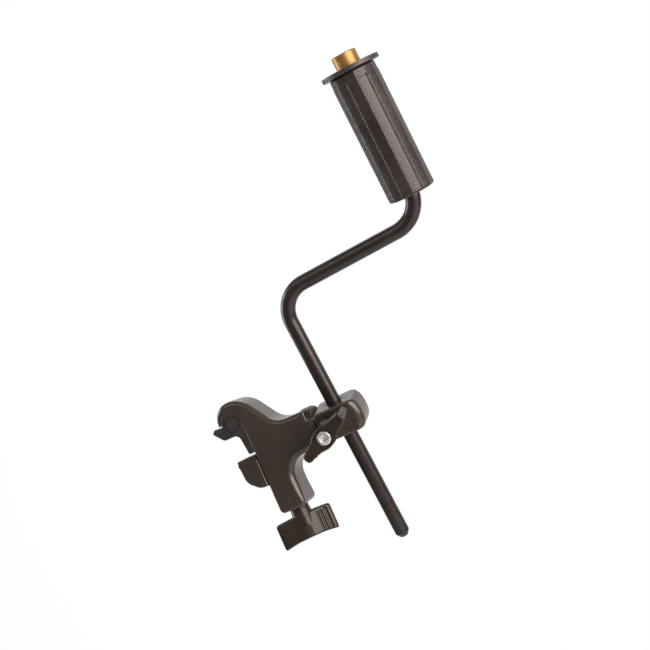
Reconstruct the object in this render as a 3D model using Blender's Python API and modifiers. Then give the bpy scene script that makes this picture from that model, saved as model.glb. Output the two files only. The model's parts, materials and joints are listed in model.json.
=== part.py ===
"""Claw rim clamp with a cranked rod and a threaded microphone post.

The clamp hooks over a drum rim. World +Z runs up along the clamp screw, +X runs from the
hook towards the rod, and the origin is the middle of the upper jaw's flat rim seat. The
swivel block, rod and post hang from an empty that leans about the arm's axis.
"""
import math

import bmesh
import bpy
from mathutils import Matrix, Vector

MM = 0.001
GAP = 0.3 * MM

# Clamp body
BODY_T = 26 * MM                     # thickness along Y
BODY_EDGE = 1.0 * MM
LEG_LEFT = 9.8 * MM
LEG_RIGHT = 28.0 * MM
LEG_BOTTOM = -57.6 * MM
HOOK_LEFT = -6.3 * MM
HOOK_TOP = 22.5 * MM
HOOK_TIP_Z = 9.6 * MM
PAD_SOCKET = (2.8 * MM, 8.0 * MM, 7.0 * MM)      # centre x, centre z, radius
ARM_Z = -15.3 * MM
ARM_HALF = 12.9 * MM
ARM_END = 51.5 * MM
BOSS_R = 13.9 * MM
BOSS_X = (47.0 * MM, 53.4 * MM)
CHANNEL_HALF = 6.5 * MM
CHANNEL_Z = (-52.0 * MM, -3.5 * MM)
CHANNEL_END = 24.0 * MM

# Clamp screw and its knob
SCREW_X = 18.0 * MM
SCREW_R = 3.9 * MM
HUB_SEAT_Z = -59.9 * MM
KNOB_H = 22.6 * MM
KNOB_HUB_R = 7.0 * MM
KNOB_REACH = 18.8 * MM
KNOB_WING_Z = 4.8 * MM
CLAMP_KNOB_TURN = math.radians(25)
LOCK_KNOB_TURN = math.radians(26)

# Jaws
JAW_TOP = -18.8 * MM
JAW_BOTTOM = -38.0 * MM
JAW_LEFT = -5.0 * MM
PAD_TOP = -16.2 * MM

# Swivel
ROD_X = 70.0 * MM
SWIVEL_TILT = math.radians(13)
SPINDLE_R = 5.95 * MM
BLOCK_LEFT = -14.6 * MM
BLOCK_RIGHT = 17.0 * MM
BLOCK_HALF_H = 10.3 * MM
BLOCK_FRONT = -13.0 * MM
BLOCK_BACK = 12.3 * MM
LOCK_X = -5.5 * MM

# Rod, in the swivel's frame
ROD_R = 4.85 * MM
ROD_BOTTOM = -91.9 * MM
ROD_CHAMFER = (2.0 * MM, 2.9 * MM)
CRANK_Z = 87.8 * MM
CRANK_SLOPE = math.radians(2.67)
BEND_R = 20 * MM
POST_X = 105.8 * MM
ROD_TOP = 185.5 * MM

# Post, in the swivel's frame
SLEEVE_R = 15.0 * MM
SLEEVE_Z = (108.7 * MM, 188.7 * MM)
COLLAR_Z = 184.2 * MM
CORE_R = 9.5 * MM
RING_R = 18.5 * MM
RING_Z = (189.5 * MM, 192.4 * MM)
STUB_R = 7.75 * MM
STUB_TOP = 200.7 * MM
STUB_PIN_Z = 180 * MM


# --------------------------------------------------------------------------- helpers

def start():
    """Empty the scene and make the two collections."""
    for obj in list(bpy.data.objects):
        bpy.data.objects.remove(obj, do_unlink=True)
    made = []
    for name in ("rim_clamp_with_post", "cutters"):
        group = bpy.data.collections.new(name)
        bpy.context.scene.collection.children.link(group)
        made.append(group)
    return made


PARTS, CUTTERS = start()


def material(name, colour, roughness, metallic):
    mat = bpy.data.materials.new(name)
    mat.use_nodes = True
    shader = mat.node_tree.nodes["Principled BSDF"]
    shader.inputs["Base Color"].default_value = (*colour, 1.0)
    shader.inputs["Roughness"].default_value = roughness
    shader.inputs["Metallic"].default_value = metallic
    return mat


PAINT = material("black_paint", (0.028, 0.024, 0.023), 0.38, 0.0)
RUBBER = material("black_rubber", (0.014, 0.013, 0.013), 0.62, 0.0)
PLASTIC = material("black_plastic", (0.022, 0.02, 0.019), 0.42, 0.0)
STEEL = material("zinc_steel", (0.62, 0.61, 0.58), 0.3, 1.0)
BLACK_STEEL = material("black_steel", (0.03, 0.028, 0.027), 0.4, 0.6)
BRASS = material("brass", (0.72, 0.47, 0.17), 0.25, 1.0)
NYLON = material("dark_nylon", (0.05, 0.05, 0.05), 0.5, 0.0)


def add(name, mesh, mat=None, parent=None, group=None, smooth=True):
    """Wrap a mesh in an object; a cutter has no material and is never rendered."""
    obj = bpy.data.objects.new(name, mesh)
    (group or PARTS).objects.link(obj)
    obj.parent = parent
    if mat:
        mesh.materials.append(mat)
    if smooth:
        mesh.shade_smooth()
        mesh.set_sharp_from_angle(angle=math.radians(35))
    return obj


def guide(name, mesh, parent=None):
    obj = add("cut_" + name, mesh, parent=parent, group=CUTTERS, smooth=False)
    obj.hide_render = True
    obj.display_type = "WIRE"
    return obj


def cylinder_mesh(radius, start_point, end_point, sides=32):
    """A capped cylinder between two points."""
    a, b = Vector(start_point), Vector(end_point)
    bm = bmesh.new()
    bmesh.ops.create_cone(bm, cap_ends=True, segments=sides, radius1=radius, radius2=radius,
                          depth=(b - a).length)
    turn = (b - a).to_track_quat("Z", "Y").to_matrix().to_4x4()
    bm.transform(Matrix.Translation((a + b) / 2) @ turn)
    mesh = bpy.data.meshes.new("cylinder")
    bm.to_mesh(mesh)
    bm.free()
    return mesh


def box_mesh(low, high):
    bm = bmesh.new()
    bmesh.ops.create_cube(bm, size=1.0)
    size = Vector(high) - Vector(low)
    middle = (Vector(high) + Vector(low)) / 2
    bm.transform(Matrix.Translation(middle) @ Matrix.Diagonal((*size, 1.0)))
    mesh = bpy.data.meshes.new("box")
    bm.to_mesh(mesh)
    bm.free()
    return mesh


def curve_to_mesh(curve, turn=Matrix.Identity(4)):
    """The mesh of a curve, with its caps welded on and each flat side made one face."""
    obj = bpy.data.objects.new("curve", curve)
    bpy.context.scene.collection.objects.link(obj)
    depsgraph = bpy.context.evaluated_depsgraph_get()
    mesh = bpy.data.meshes.new_from_object(obj.evaluated_get(depsgraph))
    bpy.data.objects.remove(obj, do_unlink=True)
    bm = bmesh.new()
    bm.from_mesh(mesh)
    bmesh.ops.remove_doubles(bm, verts=bm.verts, dist=1e-6)
    bmesh.ops.dissolve_limit(bm, angle_limit=math.radians(0.2), verts=bm.verts, edges=bm.edges)
    bmesh.ops.recalc_face_normals(bm, faces=bm.faces)
    bm.transform(turn)
    bm.to_mesh(mesh)
    bm.free()
    return mesh


def slab_mesh(outline, thickness, turn=Matrix.Rotation(math.pi / 2, 4, "X")):
    """A flat outline of (x, z) points, thickened along Y about Y = 0."""
    curve = bpy.data.curves.new("outline", "CURVE")
    curve.dimensions = "2D"
    curve.fill_mode = "BOTH"
    curve.extrude = thickness / 2
    spline = curve.splines.new("POLY")
    spline.points.add(len(outline) - 1)
    for point, (x, z) in zip(spline.points, outline):
        point.co = (x, z, 0, 1)
    spline.use_cyclic_u = True
    return curve_to_mesh(curve, turn)


def arc(centre, radius, first, last, steps):
    """Points on a circle, from one angle to another in degrees."""
    points = []
    for i in range(steps + 1):
        angle = math.radians(first + (last - first) * i / steps)
        points.append((centre[0] + radius * math.cos(angle), centre[1] + radius * math.sin(angle)))
    return points


def rounded(corners, steps=6):
    """An outline from (x, z, radius) corners; a radius of 0 keeps the corner sharp."""
    points = []
    for i, (x, z, radius) in enumerate(corners):
        here = Vector((x, z))
        if radius == 0:
            points.append((x, z))
            continue
        before = (Vector(corners[i - 1][:2]) - here).normalized()
        after = (Vector(corners[(i + 1) % len(corners)][:2]) - here).normalized()
        half = before.angle(after) / 2
        centre = here + (before + after).normalized() * (radius / math.sin(half))
        begin = here + before * (radius / math.tan(half)) - centre
        finish = here + after * (radius / math.tan(half)) - centre
        sweep = begin.angle_signed(finish)
        for step in range(steps + 1):
            turned = Matrix.Rotation(-sweep * step / steps, 2) @ begin
            points.append(tuple(centre + turned))
    return points


def turned(name, profile, mat, parent=None, place=Matrix.Identity(4), sides=32):
    """A turned solid: a closed (radius, height) profile swept about Z by a Screw modifier."""
    mesh = bpy.data.meshes.new(name)
    verts = [(r, 0, z) for r, z in profile]
    loop = len(profile)
    closed = profile[0][0] > 0 and profile[-1][0] > 0
    edges = [(i, i + 1) for i in range(loop - 1)] + ([(loop - 1, 0)] if closed else [])
    mesh.from_pydata(verts, edges, [])
    obj = add(name, mesh, mat, parent, smooth=False)
    obj.matrix_local = place
    screw = obj.modifiers.new("turn", "SCREW")
    screw.axis = "Z"
    screw.steps = sides
    screw.render_steps = sides
    screw.use_merge_vertices = True
    screw.merge_threshold = 1e-6
    screw.use_smooth_shade = True
    return obj


def boolean(obj, other, operation="DIFFERENCE"):
    step = obj.modifiers.new(operation.lower(), "BOOLEAN")
    step.operation = operation
    step.object = other
    step.solver = "EXACT"


def soften(obj, width, segments=2):
    """Round the edges that turn by more than 50 degrees."""
    bevel = obj.modifiers.new("edges", "BEVEL")
    bevel.width = width
    bevel.segments = segments
    bevel.limit_method = "ANGLE"
    bevel.angle_limit = math.radians(50)


def axis_place(point, direction):
    """A frame whose Z axis points along a direction, at a point."""
    turn = Vector(direction).to_track_quat("Z", "Y").to_matrix().to_4x4()
    return Matrix.Translation(Vector(point)) @ turn


def ring_profile(inner, outer, low, high):
    return [(outer, high), (outer, low), (inner, low), (inner, high)]


# --------------------------------------------------------------------------- clamp

def body_outline():
    socket_x, socket_z, socket_r = PAD_SOCKET
    tip_angle = 180 - math.degrees(math.asin((HOOK_TIP_Z - socket_z) / socket_r))
    outside = rounded([
        (ARM_END, ARM_Z + ARM_HALF, 0),
        (30.9 * MM, ARM_Z + ARM_HALF, 15 * MM),
        (13.8 * MM, HOOK_TOP, 17 * MM),
        (HOOK_LEFT, HOOK_TOP, 10.5 * MM),
        (HOOK_LEFT, HOOK_TIP_Z, 0)], steps=8)
    inside = arc((socket_x, socket_z), socket_r, tip_angle, 0, 14)
    leg = rounded([
        (LEG_LEFT, HOOK_TIP_Z, 0),
        (LEG_LEFT, LEG_BOTTOM, 3 * MM),
        (LEG_RIGHT, LEG_BOTTOM, 3 * MM),
        (LEG_RIGHT, ARM_Z - ARM_HALF, 12 * MM),
        (ARM_END, ARM_Z - ARM_HALF, 0)], steps=5)
    return outside + inside + leg[1:]


def clamp_body():
    """The casting: hook, leg with its jaw channel, and arm with a round boss."""
    obj = add("clamp_body", slab_mesh(body_outline(), BODY_T), PAINT)
    soften(obj, BODY_EDGE)
    flush = BODY_T / 2 - 0.2 * MM
    boss = guide("boss", cylinder_mesh(BOSS_R, (BOSS_X[0], 0, ARM_Z), (BOSS_X[1], 0, ARM_Z), 48))
    between = box_mesh((BOSS_X[0] - MM, -flush, ARM_Z - 2 * BOSS_R),
                       (BOSS_X[1] + MM, flush, ARM_Z + 2 * BOSS_R))
    boolean(boss, guide("boss_flats", between), "INTERSECT")
    boolean(obj, boss, "UNION")
    channel = box_mesh((0, -CHANNEL_HALF, CHANNEL_Z[0]), (CHANNEL_END, CHANNEL_HALF, CHANNEL_Z[1]))
    boolean(obj, guide("channel", channel))
    bush_hole = cylinder_mesh(6.3 * MM, (SCREW_X, 0, LEG_BOTTOM - MM), (SCREW_X, 0, -51 * MM), 24)
    boolean(obj, guide("bush_hole", bush_hole))
    pilot = cylinder_mesh(4.2 * MM, (SCREW_X, 0, -4.5 * MM), (SCREW_X, 0, 2.5 * MM), 24)
    boolean(obj, guide("pilot", pilot))
    bore = cylinder_mesh(6.25 * MM, (30 * MM, 0, ARM_Z), (BOSS_X[1] + MM, 0, ARM_Z), 32)
    boolean(obj, guide("spindle_bore", bore))
    set_hole = cylinder_mesh(3.2 * MM, (41 * MM, 4 * MM, ARM_Z), (41 * MM, 15 * MM, ARM_Z), 20)
    boolean(obj, guide("set_hole", set_hole))


def upper_jaw_pad():
    """Rubber jaw: a round plug in the hook, a lip in front, and a lining down the throat."""
    socket_x, socket_z, socket_r = PAD_SOCKET
    plug_r = socket_r - GAP
    plug_start = math.degrees(math.asin((HOOK_TIP_Z - 1.0 * MM - socket_z) / plug_r))
    back = LEG_LEFT - GAP
    outline = arc((socket_x, socket_z), plug_r, 180 - plug_start, 0, 10)
    outline += rounded([
        (back, -14.5 * MM, 0),
        (5.6 * MM, -14.5 * MM, 0.8 * MM),
        (4.0 * MM, 0, 4 * MM),
        (-6.6 * MM, 0, 3 * MM),
        (-12.6 * MM, 7.0 * MM, 1.0 * MM),
        (-10.4 * MM, 9.2 * MM, 1.0 * MM),
        (HOOK_LEFT, HOOK_TIP_Z - 1.0 * MM, 0)], steps=4)
    obj = add("upper_jaw_pad", slab_mesh(outline, BODY_T - 1.2 * MM), RUBBER)
    return obj


def sliding_jaw():
    """The lower jaw: a rounded head outside the leg and a shank in the leg's channel."""
    head = rounded([
        (JAW_LEFT, JAW_TOP, 0.6 * MM),
        (LEG_LEFT - 0.4 * MM, JAW_TOP, 0),
        (LEG_LEFT - 0.4 * MM, JAW_BOTTOM, 0),
        (3.5 * MM, JAW_BOTTOM, 7 * MM),
        (-4.2 * MM, -31.5 * MM, 9 * MM)], steps=6)
    obj = add("sliding_jaw", slab_mesh(head, BODY_T), PAINT)
    soften(obj, 1.0 * MM)
    shank = box_mesh((6 * MM, -CHANNEL_HALF + GAP, -36 * MM),
                     (CHANNEL_END - GAP, CHANNEL_HALF - GAP, -20.5 * MM))
    boolean(obj, guide("shank", shank), "UNION")
    hole = cylinder_mesh(5.7 * MM, (SCREW_X, 0, -40 * MM), (SCREW_X, 0, -15 * MM), 24)
    boolean(obj, guide("jaw_bore", hole))


def lower_jaw_pad():
    """A ribbed rubber pad on the lower jaw, with a flat crown where the rim rests."""
    ridge = 1.0 * MM
    low, high = JAW_TOP + GAP, PAD_TOP
    outline = [(JAW_LEFT + 0.5 * MM, low), (LEG_LEFT - MM, low), (LEG_LEFT - MM, high)]
    outline += [(5.2 * MM, high), (4.6 * MM, high - ridge), (4.0 * MM, high)]
    outline += [(0.2 * MM, high), (-0.4 * MM, high - ridge), (-1.0 * MM, high)]
    outline += [(JAW_LEFT + 1.4 * MM, high), (JAW_LEFT + 0.5 * MM, high - 0.8 * MM)]
    add("lower_jaw_pad", slab_mesh(outline, BODY_T - 1.4 * MM), RUBBER)


def wing_outline():
    """The knob seen along its axis: two wings that taper from the hub to blunt tips."""
    reach, tip, waist, root = KNOB_REACH, 3.2 * MM, 4.7 * MM, 6.4 * MM
    return rounded([
        (reach, tip, 2.4 * MM), (9.5 * MM, waist, 0), (3.5 * MM, root, 0), (-3.5 * MM, root, 0),
        (-9.5 * MM, waist, 0), (-reach, tip, 2.4 * MM), (-reach, -tip, 2.4 * MM),
        (-9.5 * MM, -waist, 0), (-3.5 * MM, -root, 0), (3.5 * MM, -root, 0),
        (9.5 * MM, -waist, 0), (reach, -tip, 2.4 * MM)], steps=3)


def wing_knob(name, place, parent, bore_r, head_r, head_depth):
    """A moulded wing knob on its own Z axis, seated at z = 0, with a counterbored screw hole."""
    wings = slab_mesh(wing_outline(), KNOB_H - 0.3 * MM - KNOB_WING_Z, Matrix.Translation(
        (0, 0, (KNOB_H - 0.3 * MM + KNOB_WING_Z) / 2)))
    obj = add(name, wings, PLASTIC, parent)
    soften(obj, 0.9 * MM)
    obj.matrix_local = place
    tools = (("hub", cylinder_mesh(KNOB_HUB_R, (0, 0, 0), (0, 0, KNOB_H), 32), "UNION"),
             ("bore", cylinder_mesh(bore_r, (0, 0, -MM), (0, 0, KNOB_H + MM), 24), "DIFFERENCE"),
             ("head", cylinder_mesh(head_r, (0, 0, KNOB_H - head_depth), (0, 0, KNOB_H + MM), 24),
              "DIFFERENCE"))
    for label, mesh, operation in tools:
        tool = guide(name + "_" + label, mesh, parent)
        tool.matrix_local = place
        boolean(obj, tool, operation)
    return obj


def socket_screw(name, place, parent, shank_r, length, head_r, head_h, socket_r, sides=24):
    """A socket-head screw on Z: the head's outer face at z = 0, the shank running down -Z."""
    profile = [(0, -length), (shank_r - 0.5 * MM, -length), (shank_r, -length + 0.5 * MM),
               (shank_r, -head_h), (head_r, -head_h), (head_r, -0.4 * MM), (head_r - 0.4 * MM, 0),
               (socket_r, 0), (socket_r, -head_h * 0.55), (0, -head_h * 0.55 - 0.6 * MM)]
    return turned(name, profile[::-1], STEEL, parent, place, sides)


def clamp_screw_set():
    """The clamp screw with its knob, thrust washer, bush and retaining clip."""
    knob_place = axis_place((SCREW_X, 0, HUB_SEAT_Z), (0, 0, -1)) @ Matrix.Rotation(
        -CLAMP_KNOB_TURN, 4, "Z")
    wing_knob("clamp_knob", knob_place, None, 4.2 * MM, 6.0 * MM, 8 * MM)
    end_z = HUB_SEAT_Z - KNOB_H
    screw_place = axis_place((SCREW_X, 0, end_z + 0.4 * MM), (0, 0, -1))
    socket_screw("clamp_screw", screw_place, None, SCREW_R, 0.4 * MM - end_z + 1.2 * MM,
                 5.6 * MM, 7.0 * MM, 3.0 * MM)
    at_screw = Matrix.Translation((SCREW_X, 0, 0))
    washer = ring_profile(4.2 * MM, 6.6 * MM, HUB_SEAT_Z + GAP, HUB_SEAT_Z + 1.1 * MM)
    turned("clamp_thrust_washer", washer, BLACK_STEEL, None, at_screw, 24)
    low, shoulder = LEG_BOTTOM - 0.9 * MM, LEG_BOTTOM - GAP
    bush = [(7.4 * MM, shoulder), (7.4 * MM, low), (4.15 * MM, low), (4.15 * MM, -52.3 * MM),
            (6.0 * MM, -52.3 * MM), (6.0 * MM, shoulder)]
    turned("clamp_screw_bush", bush, BLACK_STEEL, None, at_screw, 24)
    clip = ring_profile(4.15 * MM, 6.0 * MM, -51.6 * MM, -50.7 * MM)
    turned("clamp_screw_clip", clip, STEEL, None, at_screw, 24)
    insert = ring_profile(4.2 * MM, 5.4 * MM, -35.7 * MM, -20.8 * MM)
    turned("jaw_thread_insert", insert, STEEL, None, at_screw, 24)


def swivel_fixings():
    """The fixed spindle in the arm, its set screw and the plain disc beside the block."""
    start_x, end_x = 30.5 * MM, ROD_X - 7.6 * MM
    groove = (ROD_X - 12 * MM, ROD_X - 9.5 * MM)
    profile = [(0, end_x), (SPINDLE_R - 0.5 * MM, end_x), (SPINDLE_R, end_x - 0.5 * MM),
               (SPINDLE_R, groove[1]), (4.6 * MM, groove[1]), (4.6 * MM, groove[0]),
               (SPINDLE_R, groove[0]), (SPINDLE_R, start_x), (0, start_x)]
    along_x = axis_place((0, 0, ARM_Z), (1, 0, 0))
    turned("swivel_spindle", profile, STEEL, None, along_x, 32)
    disc = ring_profile(6.3 * MM, 13.2 * MM, BOSS_X[1] + GAP, ROD_X + BLOCK_LEFT - GAP)
    turned("ratchet_disc", disc, BLACK_STEEL, None, along_x, 36)
    place = axis_place((41 * MM, 12.6 * MM, ARM_Z), (0, 1, 0))
    socket_screw("spindle_set_screw", place, None, 2.5 * MM, 6.3 * MM, 2.9 * MM, 4.5 * MM,
                 1.5 * MM, 20)


# --------------------------------------------------------------------------- swivel block

def block_outline():
    right, half = BLOCK_RIGHT, BLOCK_HALF_H
    crown = [(x, z, 0) for x, z in arc((right - 26 * MM, 0), 26 * MM, -15, 15, 6)]
    return rounded([(BLOCK_LEFT, -half, 1.6 * MM), (right - 3.3 * MM, -half, 2.6 * MM)] + crown
                   + [(right - 3.3 * MM, half, 2.6 * MM), (BLOCK_LEFT, half, 1.6 * MM)], steps=3)


def rod_block(swivel):
    """The swivelling block, bored for the rod and the spindle, with a pocket for its shoe."""
    depth = BLOCK_BACK - BLOCK_FRONT
    upright = Matrix.Translation((0, (BLOCK_BACK + BLOCK_FRONT) / 2, 0)) @ Matrix.Rotation(
        math.pi / 2, 4, "X")
    obj = add("rod_block", slab_mesh(block_outline(), depth, upright), PAINT, swivel)
    soften(obj, 1.4 * MM)
    over = 2 * MM
    cuts = {
        "rod_bore": cylinder_mesh(5.7 * MM, (0, 0, -BLOCK_HALF_H - over), (0, 0, BLOCK_HALF_H + over)),
        "slit": box_mesh((-8 * MM, -0.5 * MM, -BLOCK_HALF_H - over),
                         (8 * MM, 0.5 * MM, BLOCK_HALF_H + over)),
        "spindle": cylinder_mesh(SPINDLE_R + GAP, (BLOCK_LEFT - over, 0, 0), (-7.2 * MM, 0, 0)),
        "shoe_pocket": box_mesh((BLOCK_LEFT - over, -10.8 * MM, -4.3 * MM),
                                (2.2 * MM, -4.0 * MM, 4.3 * MM)),
        "lock_hole": cylinder_mesh(3.3 * MM, (LOCK_X, BLOCK_FRONT - over, 0), (LOCK_X, -9 * MM, 0), 24),
    }
    for label, mesh in cuts.items():
        boolean(obj, guide(label, mesh, swivel))


def lock_set(swivel):
    """The knob, screw, washer and shoe that grip the rod and the spindle together."""
    seat = BLOCK_FRONT - 1.9 * MM
    knob_place = axis_place((LOCK_X, seat, 0), (0, -1, 0)) @ Matrix.Rotation(
        LOCK_KNOB_TURN, 4, "Z")
    wing_knob("lock_knob", knob_place, swivel, 3.3 * MM, 4.9 * MM, 6.6 * MM)
    end_y = seat - KNOB_H
    screw_place = axis_place((LOCK_X, end_y + 0.2 * MM, 0), (0, -1, 0))
    socket_screw("lock_screw", screw_place, swivel, 2.9 * MM, -9.9 * MM - end_y - 0.2 * MM,
                 4.55 * MM, 6.0 * MM, 2.5 * MM)
    washer = ring_profile(3.3 * MM, 7.5 * MM, GAP, 1.5 * MM)
    washer_place = axis_place((LOCK_X, BLOCK_FRONT, 0), (0, -1, 0))
    turned("lock_washer", washer, BLACK_STEEL, swivel, washer_place, 28)
    shoe = box_mesh((-13.6 * MM, -9.5 * MM, -4.0 * MM), (1.8 * MM, -6.6 * MM, 4.0 * MM))
    obj = add("pressure_shoe", shoe, BRASS, swivel, smooth=False)
    soften(obj, 0.5 * MM, 1)


def rod_liner(swivel):
    """A thin split nylon liner that turns in the block while the rod slides in it."""
    tube = ring_profile(ROD_R + 0.08 * MM, 5.4 * MM, -BLOCK_HALF_H + GAP, BLOCK_HALF_H - GAP)
    obj = turned("rod_liner", tube, NYLON, swivel, sides=32)
    split = box_mesh((-0.5 * MM, 3 * MM, -12 * MM), (0.5 * MM, 7 * MM, 12 * MM))
    boolean(obj, guide("liner_split", split, swivel))


# --------------------------------------------------------------------------- rod and post

def rod_route():
    """The rod's centre line: shaft, bend, crank, bend, post, all in the XZ plane."""
    post_corner = Vector((POST_X, CRANK_Z + POST_X * math.tan(CRANK_SLOPE)))
    foot = Vector((0, ROD_BOTTOM + ROD_CHAMFER[1]))
    route = rounded([(foot.x, foot.y, 0), (0, CRANK_Z, BEND_R), (*post_corner, BEND_R),
                     (POST_X, ROD_TOP, 0)], steps=9)
    return [Vector((x, 0, z)) for x, z in route]


def z_rod(swivel):
    """The cranked rod, swept along its route, with a tapered foot and a pin hole at the top."""
    curve = bpy.data.curves.new("rod", "CURVE")
    curve.dimensions = "3D"
    curve.bevel_depth = ROD_R
    curve.bevel_resolution = 4
    curve.use_fill_caps = True
    spline = curve.splines.new("POLY")
    route = rod_route()
    spline.points.add(len(route) - 1)
    for point, place in zip(spline.points, route):
        point.co = (*place, 1)
    mesh = curve_to_mesh(curve)
    taper_foot(mesh)
    obj = add("z_rod", mesh, PAINT, swivel)
    hole = cylinder_mesh(1.7 * MM, (POST_X, -8 * MM, STUB_PIN_Z), (POST_X, 8 * MM, STUB_PIN_Z), 16)
    boolean(obj, guide("rod_pin_hole", hole, swivel))


def taper_foot(mesh):
    """Draw the rod's lowest cap down into a blunt cone."""
    inset, drop = ROD_CHAMFER
    bm = bmesh.new()
    bm.from_mesh(mesh)
    lowest = min(vert.co.z for vert in bm.verts)
    cap = [face for face in bm.faces if all(vert.co.z < lowest + 1e-6 for vert in face.verts)]
    drawn = bmesh.ops.extrude_face_region(bm, geom=cap)["geom"]
    bmesh.ops.delete(bm, geom=cap, context="FACES")
    ratio = (ROD_R - inset) / ROD_R
    for vert in drawn:
        if isinstance(vert, bmesh.types.BMVert):
            vert.co = (vert.co.x * ratio, vert.co.y * ratio, vert.co.z - drop)
    bmesh.ops.recalc_face_normals(bm, faces=bm.faces)
    bm.to_mesh(mesh)
    bm.free()


def post(swivel):
    """The microphone post: core tube, ribbed sleeve, brass stub, cross pin and lock ring."""
    at_post = Matrix.Translation((POST_X, 0, 0))
    bore = ROD_R + 0.35 * MM
    stub_foot = 176 * MM
    core = ring_profile(bore, CORE_R, 112.6 * MM, stub_foot - GAP)
    turned("post_core", core, PLASTIC, swivel, at_post, 28)
    low, high = SLEEVE_Z
    inner, mouth, floor = CORE_R + GAP, 7.2 * MM, 112.2 * MM
    sleeve = [(inner, high), (SLEEVE_R - 1.6 * MM, high), (SLEEVE_R - 0.6 * MM, high - MM),
              (SLEEVE_R - 0.6 * MM, COLLAR_Z + 0.6 * MM), (SLEEVE_R, COLLAR_Z),
              (SLEEVE_R, low + 1.4 * MM), (SLEEVE_R - 0.4 * MM, low + 0.4 * MM),
              (SLEEVE_R - 1.4 * MM, low), (mouth, low), (mouth, floor), (inner, floor)]
    turned("grip_sleeve", sleeve, RUBBER, swivel, at_post, 42)
    shank_r, seat = 9.2 * MM, 189.2 * MM
    stub = [(0, STUB_TOP), (STUB_R - 0.7 * MM, STUB_TOP), (STUB_R, STUB_TOP - 0.7 * MM),
            (STUB_R, seat), (shank_r, seat), (shank_r, stub_foot), (bore, stub_foot),
            (bore, 186.2 * MM), (0, 186.2 * MM)]
    obj = turned("brass_stub", stub, BRASS, swivel, at_post, 36)
    hole = cylinder_mesh(1.7 * MM, (POST_X, -11 * MM, STUB_PIN_Z), (POST_X, 11 * MM, STUB_PIN_Z), 16)
    boolean(obj, guide("stub_pin_hole", hole, swivel))
    pin = cylinder_mesh(1.4 * MM, (POST_X, -8.8 * MM, STUB_PIN_Z), (POST_X, 8.8 * MM, STUB_PIN_Z), 16)
    add("stub_pin", pin, STEEL, swivel)
    ring_low, ring_high = RING_Z
    bevel = 0.4 * MM
    ring = [(STUB_R + GAP, ring_high), (RING_R - bevel, ring_high), (RING_R, ring_high - bevel),
            (RING_R, ring_low + bevel), (RING_R - bevel, ring_low), (STUB_R + GAP, ring_low)]
    turned("lock_ring", ring, BLACK_STEEL, swivel, at_post, 48)


def main():
    swivel = bpy.data.objects.new("swivel_axis", None)
    PARTS.objects.link(swivel)
    swivel.location = (ROD_X, 0, ARM_Z)
    swivel.rotation_euler = (SWIVEL_TILT, 0, 0)
    clamp_body()
    upper_jaw_pad()
    sliding_jaw()
    lower_jaw_pad()
    clamp_screw_set()
    swivel_fixings()
    rod_block(swivel)
    lock_set(swivel)
    rod_liner(swivel)
    z_rod(swivel)
    post(swivel)
    bpy.context.view_layer.update()


main()
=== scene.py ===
import json
import math

import bmesh
import bpy
from mathutils import Matrix, Vector


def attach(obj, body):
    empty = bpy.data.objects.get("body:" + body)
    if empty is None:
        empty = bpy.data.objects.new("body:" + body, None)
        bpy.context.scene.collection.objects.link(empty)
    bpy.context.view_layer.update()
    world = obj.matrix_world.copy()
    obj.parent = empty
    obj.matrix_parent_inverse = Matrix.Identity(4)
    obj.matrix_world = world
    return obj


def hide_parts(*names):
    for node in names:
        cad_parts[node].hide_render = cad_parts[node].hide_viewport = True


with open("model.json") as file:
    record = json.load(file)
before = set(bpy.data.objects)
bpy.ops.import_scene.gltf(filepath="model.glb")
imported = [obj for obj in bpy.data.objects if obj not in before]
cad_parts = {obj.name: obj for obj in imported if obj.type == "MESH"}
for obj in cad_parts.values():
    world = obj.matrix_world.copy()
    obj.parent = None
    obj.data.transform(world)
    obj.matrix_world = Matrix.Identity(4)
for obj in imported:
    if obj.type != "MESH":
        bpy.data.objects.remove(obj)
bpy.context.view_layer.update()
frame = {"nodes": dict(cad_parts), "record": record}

# Lengths are in millimetres up to the point where a mesh or a place is made.
MM = 0.001
IDENTITY = Matrix.Identity(4)

# Clamp: the origin is the middle of the rim seat, with X towards the rod and Z up.
ARM_Z = -15.3                     # height of the swivel's axis
ARM_HALF_H = 12.9
ARM_END = 51.5
BODY_HALF = 13.0                  # half of the casting's thickness
HOOK_CENTRE, HOOK_R = (2.8, 8.0), 7.0         # the round recess in the hook
HOOK_LEFT, HOOK_TOP, HOOK_TIP_Z = -6.3, 22.5, 9.6
LEG_LEFT, LEG_RIGHT, LEG_BOTTOM = 9.8, 28.0, -58.6
SPINDLE_BORE = 6.25
SCREW_X = 18

# Swivel: its own frame has Z up the rod's lower leg and X along the arm.
SWIVEL = Matrix.Translation(Vector((70, 0, ARM_Z)) * MM) @ Matrix.Rotation(math.radians(13), 4, "X")
BLOCK_LEFT, BLOCK_RIGHT, BLOCK_HALF_H = -15.1, 17.0, 10.3
LOCK_X = -5.5

# Wing knobs: Z is the turning axis, with the seat at 0.
WING_REACH, WING_LOW, WING_HIGH = 19.2, 4.9, 22.4
HUB_X, HUB_SIDE, WING_SLOPE = 8.8, 4.7, 0.1635    # where the taper starts, and how it runs
FLUTES = ((9.1, 0.95), (11.6, 1.2), (15.0, 1.6))  # distance from the axis, and radius

# Rod and post
ROD_R, ROD_BEND = 4.85, 20
ROD_FOOT, ROD_CRANK, ROD_TOP = -91.9, 87.8, 185.5
POST_X = 105.8
SLEEVE_LOW, SLEEVE_HIGH, SLEEVE_R, COLLAR_R = 108.7, 189.2, 15.0, 14.7
STUB_R, STUB_TOP = 7.75, 200.7

UPRIGHT = Matrix.Rotation(math.pi / 2, 4, "X")


# --------------------------------------------------------------------------- camera, light, stage

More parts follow.
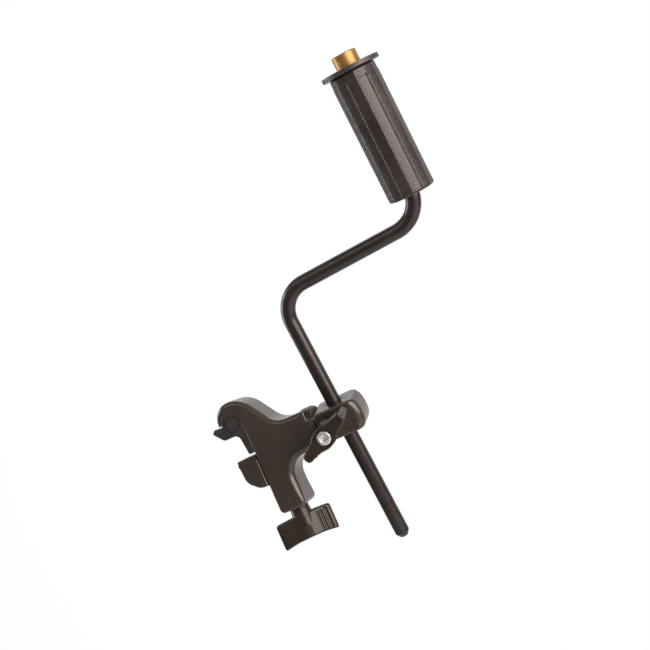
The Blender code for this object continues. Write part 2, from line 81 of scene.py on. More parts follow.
CAMERA_PLACE = (275.78, -657.40, 3.33)
CAMERA_BACK = (0.2783, -0.9588, -0.0566)      # from the part towards the camera
CAMERA_RIGHT = (0.8706, 0.2767, -0.4068)      # the image's right-hand direction
SENSOR, FOCAL_RATIO = 36.0, 1061.2 / 650.0    # focal length over the image's width


def camera():
    """The camera, rolled so that the clamp screw's axis leans in the image."""
    cam = bpy.data.cameras.new("camera")
    obj = bpy.data.objects.new("camera", cam)
    bpy.context.scene.collection.objects.link(obj)
    back, right = Vector(CAMERA_BACK).normalized(), Vector(CAMERA_RIGHT)
    right = (right - back * right.dot(back)).normalized()
    up = back.cross(right)
    turn = Matrix((right, up, back)).transposed().to_4x4()
    obj.matrix_world = Matrix.Translation(Vector(CAMERA_PLACE) * MM) @ turn
    cam.sensor_width = SENSOR
    cam.lens = SENSOR * FOCAL_RATIO
    cam.clip_start, cam.clip_end = 0.01, 50.0
    bpy.context.scene.camera = obj


def area_light(name, place, target, size, power, colour):
    light = bpy.data.lights.new(name, "AREA")
    light.shape = "RECTANGLE"
    light.size, light.size_y = size
    light.energy = power
    light.color = colour
    obj = bpy.data.objects.new(name, light)
    bpy.context.scene.collection.objects.link(obj)
    obj.location = place
    obj.rotation_euler = (Vector(target) - Vector(place)).to_track_quat("-Z", "Y").to_euler()


def studio_world():
    """A pale studio: white behind the part, dimmer towards the camera and below."""
    world = bpy.data.worlds.new("studio")
    world.use_nodes = True
    nodes, links = world.node_tree.nodes, world.node_tree.links
    coords = nodes.new("ShaderNodeTexCoord")
    split = nodes.new("ShaderNodeSeparateXYZ")
    links.new(coords.outputs["Generated"], split.inputs["Vector"])

    def ramp(axis, low, high, first, last):
        node = nodes.new("ShaderNodeMapRange")
        node.interpolation_type = "SMOOTHSTEP"
        node.inputs["From Min"].default_value = low
        node.inputs["From Max"].default_value = high
        node.inputs["To Min"].default_value = first
        node.inputs["To Max"].default_value = last
        links.new(split.outputs[axis], node.inputs["Value"])
        return node.outputs["Result"]

    behind = ramp("Y", 0.3, 0.85, 0.0, 1.0)
    front = ramp("Z", -0.5, 0.15, 0.2, 0.42)
    around = nodes.new("ShaderNodeMix")
    links.new(behind, around.inputs["Factor"])
    links.new(front, around.inputs["A"])
    around.inputs["B"].default_value = 1.0
    height = ramp("Z", -0.85, -0.45, 0.35, 1.0)
    both = nodes.new("ShaderNodeMath")
    both.operation = "MULTIPLY"
    links.new(around.outputs["Result"], both.inputs[0])
    links.new(height, both.inputs[1])
    background = nodes["Background"]
    background.inputs["Color"].default_value = (1, 1, 1, 1)
    links.new(both.outputs["Value"], background.inputs["Strength"])
    bpy.context.scene.world = world


def stage():
    """The studio's surroundings and a round pale floor below the part."""
    studio_world()
    mesh = bpy.data.meshes.new("floor")
    bm = bmesh.new()
    bmesh.ops.create_circle(bm, cap_ends=True, radius=1.2, segments=96)
    bm.to_mesh(mesh)
    bm.free()
    floor = bpy.data.objects.new("floor", mesh)
    bpy.context.scene.collection.objects.link(floor)
    floor.location = (0.08, 0.0, -0.75)
    mat = bpy.data.materials.new("floor")
    mat.use_nodes = True
    shader = mat.node_tree.nodes["Principled BSDF"]
    shader.inputs["Base Color"].default_value = (0.8, 0.8, 0.8, 1)
    shader.inputs["Roughness"].default_value = 0.8
    mesh.materials.append(mat)


def lights():
    """Softboxes, by azimuth and elevation in degrees, distance and size in metres, and watts."""
    middle = Vector((0.08, 0, 0.05))

    def softbox(name, azimuth, elevation, distance, size, power, colour=(1, 1, 1)):
        a, e = math.radians(azimuth), math.radians(elevation)
        way = Vector((math.sin(a) * math.cos(e), -math.cos(a) * math.cos(e), math.sin(e)))
        area_light(name, middle + way * distance, middle, size, power, colour)

    # A large warm one on the right, a narrow one on the left, a strip above the front, one behind.
    softbox("right_box", 57, 1, 1.3, (1.2, 1.05), 34, (1.0, 0.93, 0.88))
    softbox("left_box", -92, 17, 1.3, (0.34, 1.1), 12)
    softbox("top_front", -16, 40, 1.3, (1.1, 0.14), 3)
    softbox("top_back", 170, 50, 1.4, (0.9, 0.5), 5)


# --------------------------------------------------------------------------- materials

WARM, WHITE = (1.0, 0.95, 0.92), (1, 1, 1)    # tints of a finish's reflections
FINE_SHARE = 0.2                              # how much of the uneven gloss is fine grain
SPECK_SCALE, SPECK_COLOUR = 260.0, (0.16, 0.15, 0.14, 1)


def surface(name, colours, rough, metallic=0.0, grain=3000.0, bump=0.1, bump_scale=None,
            patch=60.0, stretch=(1, 1, 1), specks=0.0, depth=0.0001, specular=0.5,
            tint=WARM):
    """A procedural finish: two tones mixed by soft patches, uneven gloss and a fine grain.

    rough is the range of roughness, and grain, bump_scale and patch are noise scales per metre.
    """
    mat = bpy.data.materials.new(name)
    mat.use_nodes = True
    nodes, links = mat.node_tree.nodes, mat.node_tree.links
    shader = nodes["Principled BSDF"]
    shader.inputs["Metallic"].default_value = metallic
    shader.inputs["Specular IOR Level"].default_value = specular
    shader.inputs["Specular Tint"].default_value = (*tint, 1)
    coords = nodes.new("ShaderNodeTexCoord")
    mapping = nodes.new("ShaderNodeMapping")
    mapping.inputs["Scale"].default_value = stretch
    links.new(coords.outputs["Object"], mapping.inputs["Vector"])

    def noise_node(scale, detail, vector):
        node = nodes.new("ShaderNodeTexNoise")
        node.inputs["Scale"].default_value = scale
        node.inputs["Detail"].default_value = detail
        links.new(vector, node.inputs["Vector"])
        return node.outputs["Fac"]

    soft = noise_node(patch, 4.0, coords.outputs["Object"])
    fine = noise_node(grain, 3.0, mapping.outputs["Vector"])

    tone = nodes.new("ShaderNodeValToRGB")
    tone.color_ramp.elements[0].position, tone.color_ramp.elements[1].position = 0.35, 0.65
    tone.color_ramp.elements[0].color = (*colours[0], 1)
    tone.color_ramp.elements[1].color = (*colours[1], 1)
    links.new(soft, tone.inputs["Fac"])
    colour_out = tone.outputs["Color"]
    if specks:
        dots = nodes.new("ShaderNodeTexVoronoi")
        dots.inputs["Scale"].default_value = SPECK_SCALE
        links.new(coords.outputs["Object"], dots.inputs["Vector"])
        gate = nodes.new("ShaderNodeMapRange")
        gate.inputs["From Min"].default_value = specks
        gate.inputs["From Max"].default_value = specks * 0.5
        links.new(dots.outputs["Distance"], gate.inputs["Value"])
        mix = nodes.new("ShaderNodeMix")
        mix.data_type = "RGBA"
        mix.inputs["B"].default_value = SPECK_COLOUR
        links.new(gate.outputs["Result"], mix.inputs["Factor"])
        links.new(colour_out, mix.inputs["A"])
        colour_out = mix.outputs["Result"]
    links.new(colour_out, shader.inputs["Base Color"])

    gloss = nodes.new("ShaderNodeMapRange")
    gloss.inputs["From Min"].default_value, gloss.inputs["From Max"].default_value = 0.3, 0.7
    gloss.inputs["To Min"].default_value, gloss.inputs["To Max"].default_value = rough
    blend = nodes.new("ShaderNodeMath")
    blend.operation = "MULTIPLY_ADD"
    blend.inputs[1].default_value = FINE_SHARE
    broad = nodes.new("ShaderNodeMath")
    broad.operation = "MULTIPLY"
    broad.inputs[1].default_value = 1 - FINE_SHARE
    links.new(soft, broad.inputs[0])
    links.new(fine, blend.inputs[0])
    links.new(broad.outputs["Value"], blend.inputs[2])
    links.new(blend.outputs["Value"], gloss.inputs["Value"])
    links.new(gloss.outputs["Result"], shader.inputs["Roughness"])

    bumper = nodes.new("ShaderNodeBump")
    bumper.inputs["Strength"].default_value = bump
    bumper.inputs["Distance"].default_value = depth
    links.new(noise_node(bump_scale or grain, 2.0, mapping.outputs["Vector"]),
              bumper.inputs["Height"])
    links.new(bumper.outputs["Normal"], shader.inputs["Normal"])
    return mat


FINISHES = {
    "black_paint": dict(
        colours=((0.0215, 0.0138, 0.0100), (0.0278, 0.0182, 0.0135)), rough=(0.22, 0.3),
        grain=2500, bump=0.03, patch=45),
    "rod_paint": dict(
        colours=((0.0085, 0.005, 0.0044), (0.0135, 0.0085, 0.0075)), rough=(0.27, 0.31),
        grain=700, bump=0.004, patch=70, stretch=(1, 1, 0.12), specks=0.02, specular=0.4),
    "black_rubber": dict(
        colours=((0.012, 0.0105, 0.010), (0.018, 0.016, 0.015)), rough=(0.3, 0.45),
        grain=1800, bump=0.18, patch=90),
    "sleeve_rubber": dict(
        colours=((0.017, 0.0115, 0.0105), (0.028, 0.0205, 0.0195)), rough=(0.22, 0.32),
        grain=1500, bump=1.0, bump_scale=950, patch=55, depth=0.00015, specular=0.36),
    "black_plastic": dict(
        colours=((0.0155, 0.0102, 0.0076), (0.0215, 0.0143, 0.0107)), rough=(0.2, 0.3),
        grain=2400, bump=0.04, patch=80, specular=0.24),
    "dark_nylon": dict(
        colours=((0.03, 0.03, 0.03), (0.05, 0.048, 0.046)), rough=(0.4, 0.55), bump=0.1),
    "black_steel": dict(
        colours=((0.022, 0.018, 0.016), (0.04, 0.034, 0.031)), rough=(0.3, 0.42),
        metallic=0.3, grain=2600, bump=0.1, patch=120),
    "zinc_steel": dict(
        colours=((0.62, 0.61, 0.59), (0.75, 0.74, 0.72)), rough=(0.24, 0.38),
        metallic=0.95, grain=900, bump=0.05, patch=200, stretch=(1, 1, 6), tint=WHITE),
    "brass": dict(
        colours=((0.245, 0.127, 0.034), (0.302, 0.164, 0.05)), rough=(0.36, 0.48),
        metallic=0.72, grain=700, bump=0.06, patch=160, stretch=(0.3, 0.3, 9), tint=WHITE),
}


# --------------------------------------------------------------------------- shapes

def arc(centre, radius, first, last, steps):
    """Points along a circle between two angles in degrees."""
    points = []
    for i in range(steps + 1):
        angle = math.radians(first + (last - first) * i / steps)
        points.append((centre[0] + radius * math.cos(angle), centre[1] + radius * math.sin(angle)))
    return points


def rounded(corners, steps=8):
    """An outline from (x, z, radius) corners; a radius of 0 keeps the corner sharp."""
    points = []
    for i, (x, z, radius) in enumerate(corners):
        here = Vector((x, z))
        if radius == 0:
            points.append((x, z))
            continue
        before = (Vector(corners[i - 1][:2]) - here).normalized()
        after = (Vector(corners[(i + 1) % len(corners)][:2]) - here).normalized()
        half = before.angle(after) / 2
        centre = here + (before + after).normalized() * (radius / math.sin(half))
        begin = here + before * (radius / math.tan(half)) - centre
        finish = here + after * (radius / math.tan(half)) - centre
        sweep = begin.angle_signed(finish)
        for step in range(steps + 1):
            points.append(tuple(centre + Matrix.Rotation(-sweep * step / steps, 2) @ begin))
    return points


def divided(a, b, parts):
    """The start of each of a segment's equal parts."""
    parts = max(1, parts)
    return [(a[0] + (b[0] - a[0]) * k / parts, a[1] + (b[1] - a[1]) * k / parts)
            for k in range(parts)]


def spaced(points, gap):
    """The same closed outline with no segment longer than the gap."""
    out = []
    for a, b in zip(points, points[1:] + points[:1]):
        out += divided(a, b, math.ceil(math.dist(a, b) / gap))
    return out


def mesh_from(bm, turn=IDENTITY):
    """A mesh in metres from a bmesh in millimetres, which is freed."""
    bmesh.ops.recalc_face_normals(bm, faces=bm.faces)
    bm.transform(turn @ Matrix.Scale(MM, 4))
    mesh = bpy.data.meshes.new("mesh")
    bm.to_mesh(mesh)
    bm.free()
    return mesh


def close_rings(bm, rings):
    """Join each ring to the next and cap the first and the last."""
    count = len(rings[0])
    for a, b in zip(rings, rings[1:]):
        for i in range(count):
            j = (i + 1) % count
            bm.faces.new((a[i], a[j], b[j], b[i]))
    bm.faces.new(rings[0][::-1])
    bm.faces.new(rings[-1])


MITRE_LIMIT = 0.4                 # keeps the inset of a very sharp corner short


def cushion(outline, low, high, width, turn=IDENTITY, steps=7):
    """A prism whose rims are rounded; width is the rim radius, or a function of (x, y)."""
    points = [Vector(p) for p in outline]
    count = len(points)
    area = sum(points[i - 1].cross(points[i]) for i in range(count))
    inward = []
    for i in range(count):
        before = (points[i] - points[i - 1]).normalized()
        after = (points[(i + 1) % count] - points[i]).normalized()
        n1, n2 = Vector((-before.y, before.x)), Vector((-after.y, after.x))
        side = (n1 + n2) / max(MITRE_LIMIT, 1 + n1.dot(n2))
        inward.append(side if area > 0 else -side)
    radii = [width(*p) if callable(width) else width for p in outline]
    bm = bmesh.new()
    rings = []
    for base, sign in ((low, 1), (high, -1)):
        for k in range(steps + 1):
            angle = math.pi / 2 * ((steps - k) if sign > 0 else k) / steps
            rings.append([bm.verts.new((*(p + n * r * (1 - math.cos(angle))),
                                        base + sign * r * (1 - math.sin(angle))))
                          for p, n, r in zip(points, inward, radii)])
    close_rings(bm, rings)
    return mesh_from(bm, turn=turn)


def cylinder(radius, start, end, sides=64, top=None):
    """A cylinder between two points, or a cone where the top's radius is given."""
    a, b = Vector(start), Vector(end)
    bm = bmesh.new()
    bmesh.ops.create_cone(bm, cap_ends=True, segments=sides, radius1=radius,
                          radius2=radius if top is None else top, depth=(b - a).length)
    turn = (b - a).to_track_quat("Z", "Y").to_matrix().to_4x4()
    bm.transform(Matrix.Translation((a + b) / 2) @ turn)
    return mesh_from(bm)


def box(low, high):
    bm = bmesh.new()
    bmesh.ops.create_cube(bm, size=1.0)
    size, middle = Vector(high) - Vector(low), (Vector(high) + Vector(low)) / 2
    bm.transform(Matrix.Translation(middle) @ Matrix.Diagonal((*size, 1.0)))
    return mesh_from(bm)


def revolve(profile, sides=96, shape=None, closed=True):
    """A (radius, height) profile turned about Z; shape may vary it with angle."""
    bm = bmesh.new()
    rings = []
    for i in range(sides):
        angle = 2 * math.pi * i / sides
        ring = []
        for k, (r, z) in enumerate(profile):
            if shape:
                r, z = shape(angle, k, r, z)
            ring.append(bm.verts.new((r * math.cos(angle), r * math.sin(angle), z)))
        rings.append(ring)
    count = len(profile)
    for i in range(sides):
        a, b = rings[i], rings[(i + 1) % sides]
        for k in range(count if closed else count - 1):
            m = (k + 1) % count
            bm.faces.new((a[k], b[k], b[m], a[m]))
    bmesh.ops.remove_doubles(bm, verts=bm.verts, dist=1e-5)
    slivers = [f for f in bm.faces if f.calc_area() < 1e-10]
    bmesh.ops.delete(bm, geom=slivers, context="FACES_ONLY")
    return mesh_from(bm)


def sweep(path, radii, sides=48):
    """A round bar along a path in the XZ plane, closed at both ends."""
    across = Vector((0, 1, 0))
    bm = bmesh.new()
    rings = []
    for i, (x, z) in enumerate(path):
        before, after = path[max(i - 1, 0)], path[min(i + 1, len(path) - 1)]
        along = Vector((after[0] - before[0], 0, after[1] - before[1])).normalized()
        side = across.cross(along)
        ring = []
        for k in range(sides):
            angle = 2 * math.pi * k / sides
            off = (side * math.cos(angle) + across * math.sin(angle)) * radii[i]
            ring.append(bm.verts.new(Vector((x, 0, z)) + off))
        rings.append(ring)
    close_rings(bm, rings)
    return mesh_from(bm)


def temp(mesh):
    """An object that holds a mesh while modifiers are applied."""
    obj = bpy.data.objects.new("tool", mesh)
    bpy.context.scene.collection.objects.link(obj)
    return obj


def baked(obj, *tools):
    """An object's mesh with its modifiers applied; the object and its tools are removed."""
    bpy.context.view_layer.update()
    depsgraph = bpy.context.evaluated_depsgraph_get()
    mesh = bpy.data.meshes.new_from_object(obj.evaluated_get(depsgraph))
    for used in (*tools, obj):
        bpy.data.objects.remove(used, do_unlink=True)
    return mesh


def carve(mesh, *steps):
    """Apply Boolean steps of (mesh, operation) to a mesh, in one shared frame."""
    obj = temp(mesh)
    tools = []
    for other, operation in steps:
        tool = temp(other)
        tools.append(tool)
        step = obj.modifiers.new(operation, "BOOLEAN")
        step.operation, step.object, step.solver = operation, tool, "EXACT"
    return baked(obj, *tools)


def bevelled(mesh, width, segments, angle):
    """Round the edges sharper than an angle in degrees."""
    obj = temp(mesh)
    bevel = obj.modifiers.new("bevel", "BEVEL")
    bevel.segments = segments
    bevel.use_clamp_overlap = False
    bevel.width = width * MM
    bevel.limit_method = "ANGLE"
    bevel.angle_limit = math.radians(angle)
    return baked(obj)


def piece(name, mesh, finish, body, replaced, place=IDENTITY, sharp=30):
    """Add a finished piece that rides on a CAD body and stands for its CAD node."""
    obj = bpy.data.objects.new(name, mesh)
    bpy.context.scene.collection.objects.link(obj)
    obj.matrix_world = place
    mesh.materials.clear()
    mesh.materials.append(FINISH[finish])
    mesh.shade_smooth()
    mesh.set_sharp_from_angle(angle=math.radians(sharp))
    weighted = obj.modifiers.new("normals", "WEIGHTED_NORMAL")
    weighted.keep_sharp = True
    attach(obj, body)
    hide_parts(*replaced)


# --------------------------------------------------------------------------- clamp

def body_widths(x, z):
    """The rounding of the casting's rims: small at the recess and joints, large at arm and leg."""
    if math.dist((x, z), HOOK_CENTRE) < HOOK_R + 0.3:
        return 0.8
    if x < LEG_LEFT + 0.1 and z < 8:
        return 1.2
    if x < 3 and z < 21:
        return 0.8 + 2.6 * min(1.0, max(0.0, (z - 10) / 9))
    if z < -46:
        across = min(1.0, (x - LEG_LEFT) / 17.2)
        return 1.2 + across * (1.7 + 2.0 * max(0.0, (z + 54) / 8))
    full = 3.4 if z > ARM_Z else 4.9
    return 1.2 + (full - 1.2) * min(1.0, (ARM_END - x) / 4)


def body_mesh():
    """The casting: hook, leg and arm in one, with a short round boss at the arm's end."""
    tip = 180 - math.degrees(math.asin((HOOK_TIP_Z - HOOK_CENTRE[1]) / HOOK_R))
    arm_top, arm_low = ARM_Z + ARM_HALF_H, ARM_Z - ARM_HALF_H
    outline = rounded([(ARM_END, arm_top, 0), (30.9, arm_top, 15), (13.8, HOOK_TOP, 17),
                       (HOOK_LEFT, HOOK_TOP, 10.5), (HOOK_LEFT, HOOK_TIP_Z, 0)], 18)
    outline += arc(HOOK_CENTRE, HOOK_R, tip, 0, 32)
    outline += rounded([(LEG_LEFT, HOOK_TIP_Z, 0), (LEG_LEFT, LEG_BOTTOM, 3.2),
                        (LEG_RIGHT, LEG_BOTTOM, 3.6), (LEG_RIGHT, arm_low, 12),
                        (ARM_END, arm_low, 0)], 14)[1:]
    slab = cushion(spaced(outline, 2.0), -BODY_HALF, BODY_HALF, body_widths, UPRIGHT, 8)
    boss = carve(cylinder(13.9, (47, 0, ARM_Z), (53.4, 0, ARM_Z), 128),
                 (box((40, -12.8, -60), (60, 12.8, 60)), "INTERSECT"))
    boss = bevelled(boss, 0.5, 3, angle=40)
    jaw_slot = box((0, -6.5, -52), (24, 6.5, -3.5))
    bush_bore = cylinder(6.3, (SCREW_X, 0, -60), (SCREW_X, 0, -51))
    screw_bore = cylinder(4.2, (SCREW_X, 0, -4.5), (SCREW_X, 0, 2.5))
    spindle_bore = cylinder(SPINDLE_BORE, (30, 0, ARM_Z), (55, 0, ARM_Z))
    set_screw_bore = cylinder(3.2, (41, 4, ARM_Z), (41, 15, ARM_Z))
    bores = (jaw_slot, bush_bore, screw_bore, spindle_bore, set_screw_bore)
    return carve(slab, (boss, "UNION"), *((bore, "DIFFERENCE") for bore in bores))


def upper_pad_mesh():
    """The rubber jaw, with the stepped round boss that shows on both faces."""
    radius, half = HOOK_R + 0.3, 12.4
    x, z = HOOK_CENTRE
    start = math.degrees(math.asin(0.6 / radius))
    outline = arc(HOOK_CENTRE, radius, 180 - start, 0, 28)
    outline += rounded([(9.9, -14.5, 0), (5.6, -14.5, 0.8), (4.0, 0, 4), (-6.6, 0, 3),
                        (-12.6, 7.0, 1.0), (-10.4, 9.2, 1.0), (HOOK_LEFT, 8.6, 0)], 8)
    cuts = []
    for side in (-1, 1):
        face = half * side
        core = cylinder(4.9, (x, face - side * 2, z), (x, face + side * 2, z), 96)
        groove = carve(cylinder(5.5, (x, face - side * 0.7, z), (x, face + side, z), 96),
                       (core, "DIFFERENCE"))
        cuts.append((groove, "DIFFERENCE"))
    return carve(cushion(outline, -half, half, 0.6, UPRIGHT, 4), *cuts)


def jaw_widths(x, z):
    if x > 7:
        return 1.1
    return 0.55 if z > -20.5 else 1.8


def jaw_mesh():
    """The sliding jaw: its head, and the shank that runs in the leg's slot around the screw."""
    head = rounded([(-5.0, -18.8, 0.6), (9.4, -18.8, 0), (9.4, -38.0, 0), (3.5, -38.0, 7),
                    (-4.2, -31.5, 9)], 12)
    mesh = cushion(spaced(head, 1.5), -BODY_HALF, BODY_HALF, jaw_widths, UPRIGHT, 6)
    shank = box((6, -6.2, -36), (23.7, 6.2, -20.5))
    bore = cylinder(5.7, (SCREW_X, 0, -40), (SCREW_X, 0, -15))
    return carve(mesh, (shank, "UNION"), (bore, "DIFFERENCE"))


def lower_pad_mesh():
    """The lower jaw's rubber pad, with two grooves across its seat."""
    low, high, left, right = -18.9, -16.2, -4.6, 8.8
    outline = [(left, low), (right, low), (right, high - 0.3), (right - 0.3, high),
               (5.4, high), (5.2, high - 0.9), (4.0, high - 0.9), (3.8, high),
               (0.0, high), (-0.2, high - 0.9), (-1.2, high - 0.9), (-1.4, high),
               (left + 0.7, high), (left, high - 0.7)]
    return cushion(outline, -12.3, 12.3, 0.3, UPRIGHT, 3)


def capsule(radius, start, end):
    """A round-ended bar between two points."""
    length = math.dist(start, end)
    profile = [(max(x, 0.0), z) for x, z in arc((0, 0), radius, -90, 0, 8)]
    profile += [(max(x, 0.0), z) for x, z in arc((0, length), radius, 0, 90, 8)]
    mesh = revolve(profile, 32, closed=False)
    turn = (Vector(end) - Vector(start)).to_track_quat("Z", "Y").to_matrix().to_4x4()
    mesh.transform(Matrix.Translation(Vector(start) * MM) @ turn)
    return mesh


def wing_mesh():
    """The wings of a knob as one bar: waisted in plan, and bowed towards the seat at the hub."""
    tip, corner = 3.0, 2.7
    plan = []
    for way in (1, -1):
        reach, hub, half = way * WING_REACH, way * HUB_X, way * HUB_SIDE
        plan += rounded([(reach, way * tip, corner), (hub, half, 7),
                         (way * 3.4, way * 7.0, 9), (-way * 3.4, way * 7.0, 9),
                         (-hub, half, 7), (-reach, way * tip, corner)], 7)[8:-8]
        plan += rounded([(-hub, half, 0), (-reach, way * tip, corner),
                         (-reach, -way * tip, corner), (-hub, -half, 0)], 7)[1:-1]
    mesh = cushion(spaced(plan, 1.5), WING_LOW, WING_HIGH, 1.5)
    bm = bmesh.new()
    bm.from_mesh(mesh)
    for k in range(-12, 13):
        bmesh.ops.bisect_plane(bm, geom=bm.verts[:] + bm.edges[:] + bm.faces[:],
                               plane_co=(1.5 * k * MM, 0, 0), plane_no=(1, 0, 0))
    for vert in bm.verts:
        up = (vert.co.z / MM - WING_LOW) / (WING_HIGH - WING_LOW)
        bow = 1 - (vert.co.x / MM / WING_REACH) ** 2
        vert.co.z -= bow * (0.9 + 1.2 * up) * MM
        vert.co.y *= 0.78 + 0.22 * up
    bm.to_mesh(mesh)
    bm.free()
    return mesh


def knob_mesh(bore, head, head_depth):
    """A moulded wing knob: hub, waisted wings, and grip flutes on one face of each wing."""
    outline = rounded([(0, 0, 0), (6.4, 0, 0.5), (7.0, 5, 4), (7.0, 12, 0), (0, 12, 0)], 5)
    hub = revolve([(0, 0.0)] + outline[1:-1] + [(0, 12)], 96, closed=False)
    cuts = []
    for turn in (0, 1):
        spin = Matrix.Rotation(math.pi * turn, 4, "Z")
        for x, radius in FLUTES:
            side = HUB_SIDE - (x - HUB_X) * WING_SLOPE
            flute = capsule(radius, (x, side * 0.81 + radius * 0.35, 7.2),
                            (x, side * 0.97 + radius * 0.35, 19.8))
            flute.transform(spin)
            cuts.append(flute)
        dimple = cylinder(1.1, (16.2, 0, 21.2), (16.2, 0, 22.6), 32, top=1.6)
        dimple.transform(spin)
        cuts.append(dimple)
    cuts.append(cylinder(bore, (0, 0, -1), (0, 0, 24), 48))
    cuts.append(cylinder(head, (0, 0, 20.3 - head_depth), (0, 0, 24), 64))
    return carve(wing_mesh(), (hub, "UNION"), *((cut, "DIFFERENCE") for cut in cuts))


def socket_screw_mesh(shank, length, head, head_h, hexagon):
    """A socket screw on Z: head's face at 0, shank down -Z, with a hexagonal recess."""
    pitch, chamfer = 0.55, 0.6
    profile = [(0, -length), (shank - chamfer, -length), (shank, -length + chamfer)]
    z = -length + chamfer
    while z < -head_h - 1.5:
        profile += [(shank - 0.3, z + pitch / 2), (shank, z + pitch)]
        z += pitch
    profile += [(shank, -head_h)] + rounded([(shank, -head_h, 0), (head, -head_h, 0.3),
                                             (head, 0, 0.5), (0, 0, 0)], 4)[1:-1] + [(0, 0)]
    mesh = revolve(profile, 64, closed=False)
    hexagon_mesh = cylinder(hexagon, (0, 0, -head_h * 0.45), (0, 0, 1), 6)
    cone = cylinder(hexagon * 0.3, (0, 0, -head_h * 0.45 - 0.5), (0, 0, -head_h * 0.43), 32,
                    top=hexagon * 0.86)
    bevel = cylinder(hexagon * 1.02, (0, 0, -0.25), (0, 0, 0.3), 48, top=hexagon * 1.25)
    return carve(mesh, (hexagon_mesh, "DIFFERENCE"), (cone, "DIFFERENCE"), (bevel, "DIFFERENCE"))


def axis_place(point, direction):
    """The place of a piece whose Z axis starts at a point and runs in a direction."""
    turn = Vector(direction).to_track_quat("Z", "Y").to_matrix().to_4x4()
    return Matrix.Translation(Vector(point) * MM) @ turn


def clamp():
    piece("body_casting", body_mesh(), "black_paint", "clamp", ["clamp_body"])
    piece("jaw_rubber", upper_pad_mesh(), "black_rubber", "clamp",
          ["upper_jaw_pad"])
    piece("lower_jaw", jaw_mesh(), "black_paint", "jaw", ["sliding_jaw"])
    piece("lower_jaw_rubber", lower_pad_mesh(), "black_rubber", "jaw",
          ["lower_jaw_pad"])
    turn = Matrix.Rotation(math.radians(-25), 4, "Z")
    knob_place = axis_place((SCREW_X, 0, -59.9), (0, 0, -1)) @ turn
    piece("clamp_wing_knob", knob_mesh(4.2, 6.0, 8.0), "black_plastic", "clamp_drive",
          ["clamp_knob"], knob_place)
    screw_place = axis_place((SCREW_X, 0, -80.0), (0, 0, -1))
    piece("clamp_screw_fine", socket_screw_mesh(3.9, 81.6, 5.6, 7.0, 3.0), "zinc_steel",
          "clamp_drive", ["clamp_screw"], screw_place)


# --------------------------------------------------------------------------- swivel block

def block_widths(x, z):
    """The rounding of the block's rims: full at its right end and soft at its left."""
    if x > 10:
        return 1.4 + 3.6 * min(1.0, max(0.0, (x - 10) / 5))
    return 1.4 + 1.8 * max(0.0, min(1.0, (-10.5 - x) / 3.5))


def block_mesh():
    """The block, crowned at its right end, split across the rod's bore and open for its shoe."""
    half, corner = BLOCK_HALF_H, BLOCK_RIGHT - 3.1
    crown = [(x, z, 0) for x, z in arc((BLOCK_RIGHT - 26, 0), 26, -15, 15, 16)]
    outline = rounded([(BLOCK_LEFT, -half, 3.2), (corner, -half, 3.4)] + crown
                      + [(corner, half, 3.4), (BLOCK_LEFT, half, 3.2)], 8)
    middle = Matrix.Translation(Vector((0, -0.35, 0)) * MM)
    mesh = cushion(spaced(outline, 1.5), -12.65, 12.65, block_widths, middle @ UPRIGHT)
    rod_bore = cylinder(5.7, (0, 0, -14), (0, 0, 14))
    slit = box((-8, -0.65, -14), (8.3, 0.65, 14))
    spindle_bore = cylinder(SPINDLE_BORE, (-19, 0, 0), (-7.2, 0, 0))
    shoe_pocket = box((-19, -10.8, -4.3), (2.2, -4.0, 4.3))
    screw_bore = cylinder(3.3, (LOCK_X, -15, 0), (LOCK_X, -9, 0))
    bores = (rod_bore, slit, spindle_bore, shoe_pocket, screw_bore)
    return carve(mesh, *((bore, "DIFFERENCE") for bore in bores))


def swivel():
    piece("swivel_block", block_mesh(), "black_paint", "swivel", ["rod_block"],
          SWIVEL)
    turn = Matrix.Rotation(math.radians(27), 4, "Z")
    knob_place = SWIVEL @ axis_place((LOCK_X, -14.9, 0), (0, -1, 0)) @ turn
    piece("lock_wing_knob", knob_mesh(3.3, 4.9, 6.6), "black_plastic", "lock_drive",
          ["lock_knob"], knob_place)
    screw_place = SWIVEL @ axis_place((LOCK_X, -35.5, 0), (0, -1, 0))
    piece("lock_screw_fine", socket_screw_mesh(2.9, 25.6, 4.55, 6.0, 2.5), "zinc_steel",
          "lock_drive", ["lock_screw"], screw_place)


# --------------------------------------------------------------------------- rod and post

def rod_mesh():
    """The rod: a chamfered foot, two bends, and a top end that runs up inside the sleeve."""
    slope = math.tan(math.radians(2.67))
    route = rounded([(0, ROD_FOOT + 6, 0), (0, ROD_CRANK, ROD_BEND),
                     (POST_X, ROD_CRANK + POST_X * slope, ROD_BEND), (POST_X, ROD_TOP, 0)], 36)
    foot = ((0, 2.55), (0.15, 2.85), (0.5, 3.12), (2.7, 4.62), (3.05, 4.8), (3.4, ROD_R))
    path = [(0, ROD_FOOT + up) for up, radius in foot]
    radii = [radius for up, radius in foot]
    for a, b in zip(route, route[1:]):
        path += divided(a, b, int(math.dist(a, b) / 8))
    path.append(route[-1])
    radii += [ROD_R] * (len(path) - len(foot))
    return sweep(path, radii, 64)


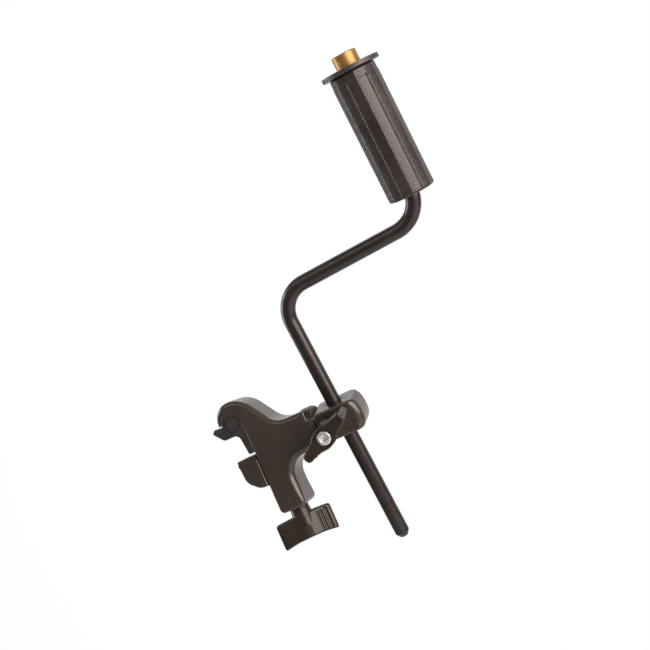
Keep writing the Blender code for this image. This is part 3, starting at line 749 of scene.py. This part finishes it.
def sleeve_mesh():
    """The grip: flat-sided panels, with a narrow groove at every second edge, and a plain collar."""
    panels, collar, inner, bore = 14, 184.0, 9.8, 7.2
    first = math.radians(-105.2)
    step = 2 * math.pi / panels
    outer = [(SLEEVE_R, z) for z in (183.3, 165, 147, 129, 112)]
    top = rounded([(COLLAR_R, collar + 0.4, 0), (COLLAR_R, SLEEVE_HIGH, 1.0),
                   (inner, SLEEVE_HIGH, 0.3)], 4)[::-1]
    base = rounded([(SLEEVE_R, 112, 0), (SLEEVE_R, SLEEVE_LOW, 1.6), (bore, SLEEVE_LOW, 0.4),
                    (bore, 112.2, 0), (inner, 112.2, 0)], 5)[1:]
    neck = [(COLLAR_R, collar + 0.4), (14.75, collar + 0.1), (14.9, 183.6)]
    profile = top[:-1] + neck + outer + base
    first_row, last_row = len(top), len(top) + 2 + len(outer) + 6

    def shape(angle, row, r, z):
        if r < 13:
            return r, z
        offset = (angle - first) % step - step / 2
        flat = math.cos(step / 2) / math.cos(offset)
        edge = step / 2 - abs(offset)
        grooved = round((angle - first) / step) % 2 == 0 and first_row <= row <= last_row
        groove = grooved * 0.55 * math.exp(-((edge * r) / 0.42) ** 2)
        return r * (flat * 0.75 + 0.25) + 0.12 - groove, z

    return revolve(profile, panels * 26, shape)


def ring_mesh():
    """The lock ring, with a fine diamond knurl round its edge."""
    inner, outer, low, high = 8.05, 18.5, 189.5, 192.4
    rows, teeth, depth = 9, 90, 0.22
    rim = [(outer, high - 0.25 - (high - low - 0.5) * i / (rows - 1)) for i in range(rows)]
    profile = [(inner, high), (outer - 0.75, high), (outer - 0.35, high - 0.1)] + rim
    profile += [(outer - 0.35, low + 0.1), (outer - 0.75, low), (inner, low)]

    def shape(angle, row, r, z):
        if 3 <= row < 3 + rows:
            u, v = angle * teeth, (z - low) * 4.4
            cut = 0.5 * (abs(math.sin((u + v) / 2)) + abs(math.sin((u - v) / 2)))
            r += depth * (cut - 0.9)
        return r, z

    return revolve(profile, 720, shape)


def stub_mesh():
    """The plain brass stub, with its wider foot inside the sleeve, bored for the rod's end."""
    low, seat, foot = 176, 188.6, 9.2
    bore = [(5.2, low), (5.2, 186.2), (0, 186.2)]
    outside = rounded([(foot, low, 0.3), (foot, seat, 0.3), (STUB_R, seat, 0),
                       (STUB_R, STUB_TOP, 0.75), (0, STUB_TOP, 0)], 4)
    return revolve([(0, STUB_TOP)] + outside[::-1][1:] + bore, 128, closed=False)


def post():
    piece("rod_fine", rod_mesh(), "rod_paint", "rod", ["z_rod"], SWIVEL)
    at_post = SWIVEL @ Matrix.Translation(Vector((POST_X, 0, 0)) * MM)
    piece("grip_fine", sleeve_mesh(), "sleeve_rubber", "rod", ["grip_sleeve"],
          at_post)
    piece("ring_fine", ring_mesh(), "black_steel", "ring", ["lock_ring"], at_post,
          sharp=50)
    piece("stub_fine", stub_mesh(), "brass", "rod", ["brass_stub"], at_post)


def plain_nodes():
    """The CAD nodes that are shown as they are take the same finishes."""
    slots = {part["node"]: part["material_slot"] for part in frame["record"]["subparts"]}
    for name, obj in frame["nodes"].items():
        if obj.hide_render:
            continue
        for slot in obj.material_slots:
            slot.material = FINISH[slots[name]]
        if not obj.material_slots:
            obj.data.materials.append(FINISH[slots[name]])


FINISH = {name: surface(name, **settings) for name, settings in FINISHES.items()}
clamp()
swivel()
post()
plain_nodes()
camera()
stage()
lights()
bpy.context.scene.view_settings.view_transform = "Standard"
